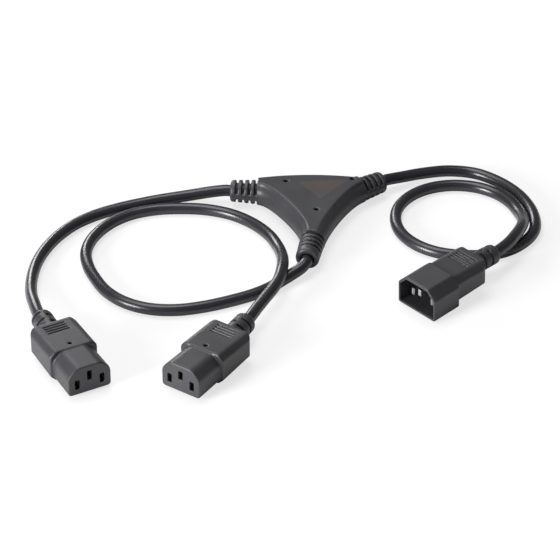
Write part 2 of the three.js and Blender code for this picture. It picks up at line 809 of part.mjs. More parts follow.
// A cord: straight in both bores, and through its route between them
function cord(name, arm, kind, place, route) {
  const from = armFrame(arm);
  const to = placeMatrix(place).multiply(cordFrame(kind, place));
  const lead = cordDiameter / 2;
  const armEnd = arm.relief.length;
  const kindEnd = kind.relief.length;
  const points = [
    pointIn(from, 0, 0, -jacketDepth),
    pointIn(from, 0, 0, armEnd / 2),
    pointIn(from, 0, 0, armEnd),
    pointIn(from, 0, 0, armEnd + lead),
    ...route.map((point) => new THREE.Vector3(...point)),
    pointIn(to, 0, 0, kindEnd + lead),
    pointIn(to, 0, 0, kindEnd),
    pointIn(to, 0, 0, kindEnd - armEnd / 2),
    pointIn(to, 0, 0, kindEnd - kind.jacketDepth),
  ];
  const path = new StationPath(points, false, 'centripetal');
  return meshOf(name, tube(path, cordDiameter, cordSides, points.length - 1), jacketBlack);
}

const cordSplitter = new THREE.Group();
cordSplitter.add(
  ...splitter(),
  lineSocket('socket_left', places.left),
  lineSocket('socket_middle', places.middle),
  inletPlug('plug', places.plug),
  cord('cord_left', arms.left, socket, places.left, routes.left),
  cord('cord_middle', arms.stem, socket, places.middle, routes.middle),
  cord('cord_plug', arms.right, plug, places.plug, routes.plug),
);

export default cordSplitter;
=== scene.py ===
"""Power cord splitter: a Y moulding, two line sockets, an inlet plug and three cords.

Shapes are worked out in millimetres and brought to metres when a piece is finished.
A connector is drawn with its face towards +Y and the foot of the face at the origin.
"""

from math import cos, radians, sin

import bmesh
import bpy
from mathutils import Matrix, Vector

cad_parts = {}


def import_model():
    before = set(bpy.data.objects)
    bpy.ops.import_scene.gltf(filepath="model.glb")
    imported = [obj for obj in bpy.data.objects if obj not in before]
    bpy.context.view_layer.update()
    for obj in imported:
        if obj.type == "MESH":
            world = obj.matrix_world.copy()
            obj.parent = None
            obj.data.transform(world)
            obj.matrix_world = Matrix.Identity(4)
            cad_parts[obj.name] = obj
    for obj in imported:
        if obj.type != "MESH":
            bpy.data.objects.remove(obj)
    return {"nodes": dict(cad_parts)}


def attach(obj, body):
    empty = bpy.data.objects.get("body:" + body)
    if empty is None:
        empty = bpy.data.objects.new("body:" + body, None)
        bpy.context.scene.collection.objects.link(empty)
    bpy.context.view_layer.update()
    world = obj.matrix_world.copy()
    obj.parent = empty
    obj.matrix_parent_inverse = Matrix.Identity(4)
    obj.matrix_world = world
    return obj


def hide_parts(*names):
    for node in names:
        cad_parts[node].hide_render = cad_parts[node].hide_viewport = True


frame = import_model()
scene = bpy.context.scene
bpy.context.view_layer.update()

MM = 0.001
TO_METRES = Matrix.Scale(MM, 4)
ORIGIN = (0, 0, 0)
CORD_DIAMETER = 6.6
BORE_DIAMETER = 7.4
# How far a cutter runs past the faces that it opens
PAST = 1.0
# A point this near to a plane lies in it, and two points this near are merged
SAME_PLANE = 1e-4
WELD = 1e-3

# A skin is a voxel size and a number of rounds of smoothing
BODY_SKIN = (0.5, 5)
PLATEAU_SKIN = (0.4, 1)
SPLITTER_SKIN = (0.4, 2)
CONNECTOR_SKIN = (0.35, 2)
SMOOTHING = 0.5

# Facets of the round shapes
CORNER_FACETS = 6
RIM_FACETS = 3
ROD_FACETS = 40
MARK_FACETS = 24
RELIEF_FACETS = 64
RELIEF_TIP_FACETS = 5
SLOT_FACETS = 28
OUTLINE_FACETS = 24
BODY_EDGE_FACETS = 5
PLATEAU_EDGE_FACETS = 2
CORD_FACETS_ALONG = 8
CORD_FACETS_ROUND = 10

# Y moulding
BODY_THICKNESS = 14.0
BODY_EDGE_RADIUS = 6.0
PLATEAU_RISE = 1.0
PLATEAU_INSET = 3.4
PLATEAU_ROUND = 0.8
ARM_WIDTH = 14.0
ARM_RUN_ON = 7.0
JACKET_DEPTH = 8.0
MARK_HOLES = ((-15.0, 3.7), (22.4, 6.0), (1.8, -26.7))
MARK_HOLE_DIAMETER = 2.8
SOCKET_MARK_DIAMETER = 2.2
MARK_HOLE_DEPTH = 3.0
PATCH_CORNERS = ((-7.9, 2.4), (3.9, -15.8), (20.0, 4.9))
# Each slot has a start along the strain relief and a span in degrees round it
ARM_RELIEF = {
    "root": 14.0,
    "tip": 12.3,
    "length": 15.4,
    "round": 1.5,
    "slot": 1.5,
    "floor": 9.2,
    "slots": [(start, span) for start in (0, 3.6, 7.2, 10.8) for span in ((13, 167), (199, 341))],
}
STEM_RELIEF = {**ARM_RELIEF, "tip": 13.0, "length": 17.5}
ARMS = {
    "left": {"end": (-31.1, 4.4), "heading": 174.5, "pitch": 0.0, "relief": ARM_RELIEF},
    "right": {"end": (26.8, 6.7), "heading": 36.0, "pitch": 0.0, "relief": ARM_RELIEF},
    "stem": {"end": (-0.7, -48.5), "heading": 259.7, "pitch": -1.2, "relief": STEM_RELIEF},
}
# How far each hollow side runs on along its two arms before it turns
LEFT_HOLLOW = (6.5, 9.5)
RIGHT_HOLLOW = (15.0, 11.7)
FAR_SIDE_BULGE = 2.5

# Line socket
SOCKET = {
    "nose_width": 24.0,
    "nose_height": 16.0,
    "nose_base": 1.3,
    "nose_length": 17.9,
    "nose_chamfer": 5.0,
    "nose_corner": 1.75,
    "nose_soft": 2.2,
    "nose_rise": 1.3,
    "grip_width": 27.0,
    "grip_height": 18.0,
    "grip_base": 0.0,
    "grip_end": 44.5,
    "grip_chamfer": 3.0,
    "grip_foot": 3.2,
    "grip_rise": 2.8,
    "grip_fall": 0.0,
    "grip_rear": 4.0,
    "rim": 0.6,
    "wall": 1.7,
    "face_wall": 1.5,
    "pocket_depth": 17.3,
    "slot_size": (2.8, 5.2),
    "groove_start": 34.7,
    "groove_pitch": 2.1,
    "groove_count": 4,
    "groove_length": 12.8,
    "mark_depth": 22.0,
    "jacket_depth": 29.0,
    "pivot": 33.0,
    "cord_height": 8.4,
    "relief": {
        "root": 12.6,
        "tip": 11.8,
        "length": 31.0,
        "round": 2.6,
        "slot": 1.5,
        "floor": 9.0,
        "starts": (17.2, 20.4, 23.6, 26.8),
    },
}

# Inlet plug
PLUG = {
    "shroud_width": 27.2,
    "shroud_height": 18.8,
    "shroud_length": 19.1,
    "shroud_chamfer": 5.4,
    "shroud_corner": 1.5,
    "shroud_soft": 0.8,
    "shroud_wall": 1.3,
    "inner_chamfer": 4.9,
    "cavity_depth": 16.9,
    "carrier_length": 8.9,
    "carrier_margin": 1.7,
    "grip_width": 24.0,
    "grip_height": 16.3,
    "grip_base": 1.2,
    "grip_end": 44.2,
    "grip_chamfer": 3.5,
    "grip_foot": 2.2,
    "grip_rise": 0.8,
    "grip_fall": 1.3,
    "grip_rear": 6.0,
    "rim": 0.5,
    "groove_start": 31.7,
    "groove_pitch": 1.85,
    "groove_count": 5,
    "groove_length": 13.0,
    "jacket_depth": 22.0,
    "pivot": 34.1,
    "cord_height": 9.0,
    "relief": {
        "root": 12.0,
        "tip": 11.2,
        "length": 26.5,
        "round": 2.4,
        "slot": 1.5,
        "floor": 8.8,
        "starts": (13.2, 16, 18.8, 21.6),
    },
}
CONTACT_PITCH = 14.0
CONTACT_OFFSET = 2.0
PIN_SIZE = (2.0, 4.0)
FIT_GAP = 0.3
GROOVE_WIDTH = 1.15
GROOVE_DEPTH = 0.9
GRIP_FOOT_SOFT = 0.8
GRIP_TOP_SOFT = 1.2
GRIP_RIM_EXTRA = 0.3
CONNECTOR_BORE_START = 2.0
# Degrees that a connector's slots span, by turns
CONNECTOR_SLOT_SPANS = ((97, 213), (-123, 83))

PLACES = {
    "socket_left": {"at": (-115.3, -181.7, 0), "yaw": -60.5, "cord_yaw": -4.9},
    "socket_middle": {"at": (-69.1, -182.7, 0), "yaw": -125.1, "cord_yaw": 7.9},
    "plug": {
        "at": (54.1, -107.6, 0.35),
        "yaw": -136.8,
        "pitch": -3.7,
        "roll": -1.8,
        "cord_yaw": 0.0,
        "cord_pitch": -3.7,
    },
}

# Route of each cord between its strain reliefs, as (x, y, z)
ROUTES = {
    "cord_left": (
        (-57.5, 6.1, 6.1), (-72, 4.3, 4.5), (-88, 0.9, 3.6), (-100, -3.2, 3.3),
        (-110.5, -7.9, 3.3), (-122.1, -14.7, 3.3), (-133, -24.4, 3.3), (-141.5, -36.8, 3.3),
        (-147.2, -49.4, 3.3), (-150.8, -62, 3.3), (-152.4, -74.5, 3.5), (-152.5, -87, 4.4),
        (-151.3, -99.5, 6), (-148.8, -111, 7.6),
    ),
    "cord_middle": (
        (-7.4, -73.4, 5.7), (-11.6, -77, 4.7), (-17.4, -82, 3.7), (-24.8, -89.3, 3.3),
        (-33.2, -95.5, 3.3), (-45.1, -101.6, 3.3), (-59.3, -107.2, 3.3), (-73.8, -110.3, 3.3),
        (-88.2, -109.1, 3.3), (-101.2, -103, 3.3), (-111.4, -92.7, 3.3), (-118.2, -80, 3.3),
        (-123.1, -66.5, 3.3), (-124.9, -52.5, 3.3), (-121.6, -37.5, 3.3), (-113.4, -23.6, 3.3),
        (-102.3, -13.8, 3.3), (-88.4, -8.6, 3.3), (-74, -7.4, 3.3), (-60, -8.6, 3.3),
        (-46, -13.7, 3.3), (-33.6, -23.4, 3.3), (-24.6, -35.7, 3.4), (-19.5, -50, 4.6),
        (-17.5, -62, 6.9), (-17, -72, 9.2), (-17.5, -81.6, 10.5), (-19.1, -91, 10.5),
        (-22.1, -99.4, 10.1), (-26, -107.2, 9.5), (-30.2, -115.6, 8.8),
    ),
    "cord_plug": (
        (49.8, 22, 6.1), (63.5, 28.4, 5), (78, 32.7, 4), (92.3, 31.6, 3.3), (104.8, 23.2, 3.3),
        (114.8, 11.1, 3.3), (121.2, -3, 3.3), (123.9, -17.4, 3.3), (122.7, -31, 3.3),
        (116.2, -42.8, 3.3), (106, -51.8, 3.3), (93, -56.4, 3.3), (79.8, -56.4, 3.3),
        (67.2, -53, 3.3), (56.6, -45.4, 3.3), (49.2, -34.4, 3.3), (46.2, -21.4, 3.3),
        (47.8, -7.6, 3.3), (54.6, 4.9, 3.3), (65, 13.6, 3.3), (78, 17.6, 3.3), (91.6, 16.2, 3.3),
        (103.1, 9.8, 3.3), (111.2, -0.4, 3.3), (115.4, -11.6, 3.5), (116.9, -23.4, 5.9),
        (115.7, -33.2, 8.6), (113.4, -41.2, 10.2), (110.3, -48.8, 11.1), (106, -57, 11.5),
    ),
}


# Frames


def outward(heading, pitch=0.0):
    turn, climb = radians(heading), radians(pitch)
    flat = cos(climb)
    return Vector((cos(turn) * flat, sin(turn) * flat, sin(climb)))


def frame_along(origin, axis):
    """+Z runs along the axis, and +Y is as near upright as it can be."""
    across = Vector((0, 0, 1)).cross(axis).normalized()
    above = axis.cross(across)
    turn = Matrix((across, above, axis)).transposed().to_4x4()
    return Matrix.Translation(origin) @ turn


def arm_frame(arm):
    return frame_along((*arm["end"], BODY_THICKNESS / 2), outward(arm["heading"], arm["pitch"]))


def place_frame(place):
    return (
        Matrix.Translation(place["at"])
        @ Matrix.Rotation(radians(place["yaw"] - 90), 4, "Z")
        @ Matrix.Rotation(radians(place.get("pitch", 0)), 4, "X")
        @ Matrix.Rotation(radians(place.get("roll", 0)), 4, "Y")
    )


def cord_frame(kind, place):
    axis = outward(-90 + place["cord_yaw"], place.get("cord_pitch", 0))
    return frame_along((0, -kind["pivot"], kind["cord_height"]), axis)


# Shapes


def link(name, data):
    piece = bpy.data.objects.new(name, data)
    scene.collection.objects.link(piece)
    return piece


def made(bm, matrix=None):
    """A working object from a bmesh, moved by a matrix."""
    if matrix is not None:
        bmesh.ops.transform(bm, matrix=matrix, verts=bm.verts)
    bmesh.ops.recalc_face_normals(bm, faces=bm.faces)
    mesh = bpy.data.meshes.new("work")
    bm.to_mesh(mesh)
    bm.free()
    return link("work", mesh)


def discard(piece):
    data = piece.data
    bpy.data.objects.remove(piece)
    if isinstance(data, bpy.types.Mesh):
        bpy.data.meshes.remove(data)
    else:
        bpy.data.curves.remove(data)


def settle(piece):
    """Replaces a piece's mesh by what its modifiers make of it."""
    bpy.context.view_layer.update()
    evaluated = piece.evaluated_get(bpy.context.evaluated_depsgraph_get())
    mesh = bpy.data.meshes.new_from_object(evaluated)
    old = piece.data
    piece.modifiers.clear()
    piece.data = mesh
    bpy.data.meshes.remove(old)
    return piece


def combine(base, others, operation):
    for other in others:
        step = base.modifiers.new("combine", "BOOLEAN")
        step.operation = operation
        step.solver = "MANIFOLD"
        step.object = other
    settle(base)
    for other in others:
        discard(other)
    return base


def remoulded(piece, voxel, rounds):
    """One closed skin over the piece, with every edge softened as a moulding's edges are."""
    skin = piece.modifiers.new("skin", "REMESH")
    skin.mode = "VOXEL"
    skin.voxel_size = voxel
    soft = piece.modifiers.new("soft", "SMOOTH")
    soft.factor = SMOOTHING
    soft.iterations = rounds
    return settle(piece)


def finished(piece, name, matrix, material, *nodes):
    """Brings a shape to its place in metres, and lets it stand for its nodes."""
    piece.data.transform(TO_METRES @ matrix)
    piece.name = name
    piece.data.name = name
    piece.data.shade_smooth()
    piece.data.materials.clear()
    piece.data.materials.append(material)
    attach(piece, "root")
    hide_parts(*nodes)
    return piece


def edges_where(bm, test):
    return [edge for edge in bm.edges if all(test(vert.co) for vert in edge.verts)]


def bevel(bm, geom, width, facets, affect="EDGES"):
    bmesh.ops.bevel(
        bm, geom=geom, offset=width, segments=facets, profile=0.5, affect=affect, material=-1
    )


def prism(corners, depth, length, rim=0.0, rise=0.0, fall=0.0):
    """A section of (x, z, corner radius) run back along -Y, with its two rims rounded.

    Towards its rear its foot climbs by the rise and its top drops by the fall.
    """
    bm = bmesh.new()
    verts = [bm.verts.new((x, -depth, z)) for x, z, _ in corners]
    bm.faces.new(verts)
    for vert, (_, _, radius) in zip(verts, corners):
        if radius:
            bevel(bm, [vert], radius, CORNER_FACETS, "VERTICES")
    grown = bmesh.ops.extrude_face_region(bm, geom=bm.faces[:])
    moved = [item for item in grown["geom"] if isinstance(item, bmesh.types.BMVert)]
    bmesh.ops.translate(bm, verts=moved, vec=(0, -length, 0))
    if rim:
        for y in (-depth, -depth - length):
            ring = edges_where(bm, lambda point: abs(point.y - y) < SAME_PLANE)
            bevel(bm, ring, rim, RIM_FACETS)
    heights = [vert.co.z for vert in bm.verts]
    foot, top = min(heights), max(heights)
    for vert in bm.verts:
        back = (-vert.co.y - depth) / length
        below = (top - vert.co.z) / (top - foot)
        vert.co.z += back * (rise * below - fall * (1 - below))
    return made(bm)


def grip_section(kind):
    """Straight chamfers at the top and at the foot, with slightly soft corners."""
    half, foot = kind["grip_width"] / 2, kind["grip_foot"]
    base, top = kind["grip_base"], kind["grip_base"] + kind["grip_height"]
    right = (
        (half - foot, base, GRIP_FOOT_SOFT),
        (half, base + foot, GRIP_FOOT_SOFT),
        (half, top - kind["grip_chamfer"], GRIP_TOP_SOFT),
        (half - kind["grip_chamfer"], top, GRIP_TOP_SOFT),
    )
    return (*right, *((-x, z, radius) for x, z, radius in reversed(right)))


def connector_section(width, height, base, chamfer, corner, soft=0.0):
    """Rounded corners at the foot, and chamfers with slightly soft corners at the top."""
    half = width / 2
    top = base + height
    return (
        (-half, base, corner),
        (half, base, corner),
        (half, top - chamfer, soft),
        (half - chamfer, top, soft),
        (-half + chamfer, top, soft),
        (-half, top - chamfer, soft),
    )


def box(size, centre):
    bm = bmesh.new()
    bmesh.ops.create_cube(bm, size=1)
    bmesh.ops.scale(bm, verts=bm.verts, vec=size)
    bmesh.ops.translate(bm, verts=bm.verts, vec=centre)
    return made(bm)


def rod(matrix, diameter, start, end, segments=ROD_FACETS):
    bm = bmesh.new()
    bmesh.ops.create_cone(
        bm,
        cap_ends=True,
        segments=segments,
        radius1=diameter / 2,
        radius2=diameter / 2,
        depth=end - start,
    )
    bmesh.ops.translate(bm, verts=bm.verts, vec=(0, 0, (start + end) / 2))
    return made(bm, matrix)


def relief_body(matrix, relief, start):
    """A round, slightly tapered stub along +Z with a rounded tip."""
    bm = bmesh.new()
    length = relief["length"]
    slope = (relief["root"] - relief["tip"]) / 2 / length
    bmesh.ops.create_cone(
        bm,
        cap_ends=True,
        segments=RELIEF_FACETS,
        radius1=relief["root"] / 2 - slope * start,
        radius2=relief["tip"] / 2,
        depth=length - start,
    )
    bmesh.ops.translate(bm, verts=bm.verts, vec=(0, 0, (start + length) / 2))
    tip = edges_where(bm, lambda point: abs(point.z - length) < SAME_PLANE)
    bevel(bm, tip, relief["round"], RELIEF_TIP_FACETS)
    return made(bm, matrix)


def ring_slot(matrix, relief, start, span):
    """A cutter for one slot: a rectangle turned round the strain relief's axis."""
    inner = relief["floor"] / 2
    outer = relief["root"] / 2 + PAST
    low, high = start, start + relief["slot"]
    bm = bmesh.new()
    corners = ((inner, low), (outer, low), (outer, high), (inner, high))
    bm.faces.new([bm.verts.new((x, 0, z)) for x, z in corners])
    first, last = (radians(turn) for turn in span)
    bmesh.ops.rotate(bm, verts=bm.verts, cent=ORIGIN, matrix=Matrix.Rotation(first, 3, "Z"))
    bmesh.ops.spin(
        bm,
        geom=bm.verts[:] + bm.edges[:] + bm.faces[:],
        cent=ORIGIN,
        axis=(0, 0, 1),
        angle=last - first,
        steps=SLOT_FACETS,
        use_duplicate=False,
    )
    return made(bm, matrix)


def connector_slots(relief):
    return [
        (start, CONNECTOR_SLOT_SPANS[index % 2]) for index, start in enumerate(relief["starts"])
    ]


# Y moulding


def arm_corner(arm, side, distance):
    """A point on one side of an arm, a distance beyond its end."""
    axis = outward(arm["heading"])
    return (
        arm["end"][0] + axis.x * distance - axis.y * side * ARM_WIDTH / 2,
        arm["end"][1] + axis.y * distance + axis.x * side * ARM_WIDTH / 2,
    )


def outline_knots():
    """The Y's outline: each knot with the handles before and after it."""
    left, right, stem = (ARMS[name] for name in ("left", "right", "stem"))
    far_right, far_left = arm_corner(right, 1, 0), arm_corner(left, -1, 0)
    peak = (
        (far_right[0] + far_left[0]) / 2,
        (far_right[1] + far_left[1]) / 2 + 2 * FAR_SIDE_BULGE,
    )

    def towards_peak(corner):
        return tuple(a + (b - a) * 2 / 3 for a, b in zip(corner, peak))

    def plain(arm, side, distance):
        corner = arm_corner(arm, side, distance)
        return corner, corner, corner

    def ahead(arm, side, run):
        corner = arm_corner(arm, side, 0)
        return corner, corner, arm_corner(arm, side, -run)

    def behind(arm, side, run):
        corner = arm_corner(arm, side, 0)
        return corner, arm_corner(arm, side, -run), corner

    return (
        plain(left, 1, ARM_RUN_ON),
        ahead(left, 1, LEFT_HOLLOW[0]),
        behind(stem, -1, LEFT_HOLLOW[1]),
        plain(stem, -1, ARM_RUN_ON),
        plain(stem, 1, ARM_RUN_ON),
        ahead(stem, 1, RIGHT_HOLLOW[0]),
        behind(right, -1, RIGHT_HOLLOW[1]),
        plain(right, -1, ARM_RUN_ON),
        plain(right, 1, ARM_RUN_ON),
        (far_right, far_right, towards_peak(far_right)),
        (far_left, towards_peak(far_left), far_left),
        plain(left, -1, ARM_RUN_ON),
    )


def body_slab(bottom, top, inset, rounding, facets):
    """The Y's outline as a flat curve with thickness and rounded edges."""
    knots = outline_knots()
    curve = bpy.data.curves.new("outline", "CURVE")
    curve.dimensions = "2D"
    curve.fill_mode = "BOTH"
    curve.resolution_u = OUTLINE_FACETS
    spline = curve.splines.new("BEZIER")
    spline.bezier_points.add(len(knots) - 1)
    spline.use_cyclic_u = True
    for knot, (place, before, after) in zip(spline.bezier_points, knots):
        knot.handle_left_type = "FREE"
        knot.handle_right_type = "FREE"
        knot.co = (*place, 0)
        knot.handle_left = (*before, 0)
        knot.handle_right = (*after, 0)
    curve.extrude = (top - bottom) / 2 - rounding
    curve.bevel_depth = rounding
    curve.bevel_resolution = facets
    curve.offset = -inset - rounding
    flat = link("outline", curve)
    bpy.context.view_layer.update()
    mesh = bpy.data.meshes.new_from_object(flat)
    discard(flat)
    bm = bmesh.new()
    bm.from_mesh(mesh)
    bpy.data.meshes.remove(mesh)
    bmesh.ops.remove_doubles(bm, verts=bm.verts, dist=WELD)
    return made(bm, Matrix.Translation((0, 0, (top + bottom) / 2)))


def splitter_housing():
    body = body_slab(0, BODY_THICKNESS, 0, BODY_EDGE_RADIUS, BODY_EDGE_FACETS)
    plateau = body_slab(
        BODY_THICKNESS / 2,
        BODY_THICKNESS + PLATEAU_RISE,
        PLATEAU_INSET,
        PLATEAU_ROUND,
        PLATEAU_EDGE_FACETS,
    )
    trims = []
    for arm in ARMS.values():
        reach = ARM_RUN_ON + 2 * PAST
        block = box((ARM_WIDTH + 4 * PAST, BODY_THICKNESS * 2, reach), (0, 0, reach / 2))
        block.data.transform(arm_frame(arm))
        trims.append(block)
    combine(body, [remoulded(plateau, *PLATEAU_SKIN)], "UNION")
    remoulded(body, *BODY_SKIN)
    combine(body, trims, "DIFFERENCE")
    reliefs = [
        relief_body(arm_frame(arm), arm["relief"], -JACKET_DEPTH / 2) for arm in ARMS.values()
    ]
    combine(body, reliefs, "UNION")
    cuts = []
    for arm in ARMS.values():
        matrix, relief = arm_frame(arm), arm["relief"]
        cuts += [ring_slot(matrix, relief, *slot) for slot in relief["slots"]]
        cuts.append(rod(matrix, BORE_DIAMETER, -JACKET_DEPTH, relief["length"] + PAST))
    for x, y in MARK_HOLES:
        top = Matrix.Translation((x, y, BODY_THICKNESS + PLATEAU_RISE))
        cuts.append(rod(top, MARK_HOLE_DIAMETER, -MARK_HOLE_DEPTH, PAST, MARK_FACETS))
    combine(body, cuts, "DIFFERENCE")
    return remoulded(body, *SPLITTER_SKIN)


# Connectors


def contact_places(middle):
    side = CONTACT_PITCH / 2
    low, high = middle - CONTACT_OFFSET, middle + CONTACT_OFFSET
    return ((-side, low), (side, low), (0, high))


def grip(kind, front):
    """The part that is held, with rear corners that are round as seen from above."""
    block = prism(
        grip_section(kind),
        front,
        kind["grip_end"] - front,
        kind["rim"] + GRIP_RIM_EXTRA,
        kind["grip_rise"],
        kind["grip_fall"],
    )
    half = kind["grip_width"] / 2
    end, rear = kind["grip_end"], kind["grip_rear"]
    plan = prism(
        ((-half, -PAST, 0), (half, -PAST, 0), (half, end, rear), (-half, end, rear)),
        -PAST,
        kind["grip_base"] + kind["grip_height"] + 3 * PAST,
    )
    plan.data.transform(Matrix.Rotation(radians(-90), 4, "X"))
    plan.data.transform(Matrix.Scale(-1, 4, (0, 1, 0)))
    return combine(block, [upright(plan)], "INTERSECT")


def upright(plan):
    """Gives a mirrored or turned working shape outward faces again."""
    bm = bmesh.new()
    bm.from_mesh(plan.data)
    bmesh.ops.recalc_face_normals(bm, faces=bm.faces)
    bm.to_mesh(plan.data)
    bm.free()
    return plan


def cord_end_cuts(kind, place, front):
    """The cutters for the strain relief's slots, the cord's bore and the grip's grooves."""
    matrix = cord_frame(kind, place)
    relief = kind["relief"]
    cuts = [ring_slot(matrix, relief, *slot) for slot in connector_slots(relief)]
    cuts.append(rod(matrix, BORE_DIAMETER, CONNECTOR_BORE_START, relief["length"] + PAST))
    for index in range(kind["groove_count"]):
        depth = kind["groove_start"] + index * kind["groove_pitch"]
        back = (depth - front) / (kind["grip_end"] - front)
        top = kind["grip_base"] + kind["grip_height"] - kind["grip_fall"] * back
        cuts.append(box((kind["groove_length"], GROOVE_WIDTH, 2 * GROOVE_DEPTH), (0, -depth, top)))
    return cuts


def socket_housing(place):
    kind = SOCKET
    nose = prism(
        connector_section(
            kind["nose_width"], kind["nose_height"], kind["nose_base"], kind["nose_chamfer"],
            kind["nose_corner"], kind["nose_soft"],
        ),
        0,
        kind["nose_length"] + PAST,
        kind["rim"],
        kind["nose_rise"],
    )
    combine(nose, [grip(kind, kind["nose_length"])], "UNION")
    combine(nose, [relief_body(cord_frame(kind, place), kind["relief"], 0)], "UNION")
    wall = kind["wall"]
    pocket = prism(
        connector_section(
            kind["nose_width"] - 2 * wall, kind["nose_height"] - 2 * wall,
            kind["nose_base"] + wall, kind["nose_chamfer"] - wall / 2, 0,
        ),
        kind["face_wall"],
        kind["pocket_depth"] - kind["face_wall"],
    )
    cuts = [pocket, *cord_end_cuts(kind, place, kind["nose_length"])]
    middle = kind["nose_base"] + kind["nose_height"] / 2
    for x, z in contact_places(middle):
        width, height = kind["slot_size"]
        cuts.append(box((width, kind["face_wall"] + 4 * PAST, height), (x, 0, z)))
    top = Matrix.Translation((0, -kind["mark_depth"], kind["grip_base"] + kind["grip_height"]))
    cuts.append(rod(top, SOCKET_MARK_DIAMETER, -MARK_HOLE_DEPTH, PAST, MARK_FACETS))
    combine(nose, cuts, "DIFFERENCE")
    return remoulded(nose, *CONNECTOR_SKIN)


def plug_housing(place):
    kind = PLUG
    shroud = prism(
        connector_section(
            kind["shroud_width"], kind["shroud_height"], 0, kind["shroud_chamfer"],
            kind["shroud_corner"], kind["shroud_soft"],
        ),
        0,
        kind["shroud_length"],
        kind["rim"],
    )
    combine(shroud, [grip(kind, kind["cavity_depth"])], "UNION")
    combine(shroud, [relief_body(cord_frame(kind, place), kind["relief"], 0)], "UNION")
    wall = kind["shroud_wall"]
    cavity = prism(
        connector_section(
            kind["shroud_width"] - 2 * wall, kind["shroud_height"] - 2 * wall, wall,
            kind["inner_chamfer"], kind["shroud_corner"] / 2,
        ),
        -PAST,
        kind["cavity_depth"] + PAST,
    )
    reach = kind["carrier_margin"] + FIT_GAP
    middle = kind["shroud_height"] / 2
    seat = box(
        (
            CONTACT_PITCH + PIN_SIZE[0] + 2 * reach,
            kind["carrier_length"] + 2 * FIT_GAP,
            2 * CONTACT_OFFSET + PIN_SIZE[1] + 2 * reach,
        ),
        (0, -kind["cavity_depth"] - kind["carrier_length"] / 2, middle),
    )
    cuts = [cavity, seat, *cord_end_cuts(kind, place, kind["cavity_depth"])]
    combine(shroud, cuts, "DIFFERENCE")
    return remoulded(shroud, *CONNECTOR_SKIN)


# Cords


def cord_points(name, arm, kind, place):
    """Straight in both bores, and through the cord's route between them."""
    start, end = arm_frame(arm), place_frame(place) @ cord_frame(kind, place)
    lead = CORD_DIAMETER / 2
    arm_end, kind_end = arm["relief"]["length"], kind["relief"]["length"]
    inside = [
        start @ Vector((0, 0, z)) for z in (-JACKET_DEPTH, arm_end / 2, arm_end, arm_end + lead)
    ]
    outside = [
        end @ Vector((0, 0, z))
        for z in (
            kind_end + lead, kind_end, kind_end - arm_end / 2, kind_end - kind["jacket_depth"]
        )
    ]
    return [*inside, *[Vector(point) for point in ROUTES[name]], *outside]


def cord(name, arm, kind, place, material):
    """A jacket along its route: one smooth open spline with a round section."""
    points = cord_points(name, arm, kind, place)
    curve = bpy.data.curves.new(name, "CURVE")
    curve.dimensions = "3D"
    curve.resolution_u = CORD_FACETS_ALONG
    curve.bevel_depth = CORD_DIAMETER / 2 * MM
    curve.bevel_resolution = CORD_FACETS_ROUND
    curve.use_fill_caps = True
    spline = curve.splines.new("BEZIER")
    spline.bezier_points.add(len(points) - 1)
    for index, knot in enumerate(spline.bezier_points):
        point = points[index]
        before, after = points[max(index - 1, 0)], points[min(index + 1, len(points) - 1)]
        along = after - before
        if point.z <= CORD_DIAMETER / 2:
            along.z = 0
        along.normalize()
        knot.handle_left_type = "FREE"
        knot.handle_right_type = "FREE"
        knot.co = TO_METRES @ point
        knot.handle_left = TO_METRES @ (point - along * (point - before).length / 3)
        knot.handle_right = TO_METRES @ (point + along * (after - point).length / 3)
    curve.materials.append(material)
    jacket = link(f"{name}_jacket", curve)
    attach(jacket, "root")
    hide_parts(name)
    return jacket


# Finishes


def node(tree, kind, place, **settings):
    item = tree.nodes.new(kind)
    item.location = place
    for key, value in settings.items():
        setattr(item, key, value)
    return item


def grain_group():
    """Fine moulding grain with a slow unevenness under it."""
    group = bpy.data.node_groups.new("Moulding grain", "ShaderNodeTree")
    for name, default in (("Fineness", 1500.0), ("Slow fineness", 60.0)):
        socket = group.interface.new_socket(name, in_out="INPUT", socket_type="NodeSocketFloat")
        socket.default_value = default
    group.interface.new_socket("Vector", in_out="INPUT", socket_type="NodeSocketVector")
    for name in ("Height", "Unevenness"):
        group.interface.new_socket(name, in_out="OUTPUT", socket_type="NodeSocketFloat")
    inputs = node(group, "NodeGroupInput", (-600, 0))
    outputs = node(group, "NodeGroupOutput", (400, 0))
    fine = node(group, "ShaderNodeTexNoise", (-300, 120), noise_dimensions="3D")
    fine.inputs["Detail"].default_value = 3
    slow = node(group, "ShaderNodeTexNoise", (-300, -160), noise_dimensions="3D")
    slow.inputs["Detail"].default_value = 2
    group.links.new(inputs.outputs["Vector"], fine.inputs["Vector"])
    group.links.new(inputs.outputs["Vector"], slow.inputs["Vector"])
    group.links.new(inputs.outputs["Fineness"], fine.inputs["Scale"])
    group.links.new(inputs.outputs["Slow fineness"], slow.inputs["Scale"])
    group.links.new(fine.outputs["Fac"], outputs.inputs["Height"])
    group.links.new(slow.outputs["Fac"], outputs.inputs["Unevenness"])
    return group


def value_range(tree, place, source, given, wanted=(0, 1)):
    """Maps the given range of a value to the wanted one."""
    item = node(tree, "ShaderNodeMapRange", place)
    for name, value in zip(("From Min", "From Max", "To Min", "To Max"), (*given, *wanted)):
        item.inputs[name].default_value = value
    tree.links.new(source, item.inputs["Value"])
    return item.outputs["Result"]


def product(tree, place, first, second):
    item = node(tree, "ShaderNodeMath", place, operation="MULTIPLY")
    tree.links.new(first, item.inputs[0])
    tree.links.new(second, item.inputs[1])
    return item.outputs[0]


def colour_between(tree, place, source, dark, light):
    item = node(tree, "ShaderNodeMix", place, data_type="RGBA")
    item.inputs["A"].default_value = (*dark, 1)
    item.inputs["B"].default_value = (*light, 1)
    tree.links.new(source, item.inputs["Factor"])
    return item.outputs["Result"]


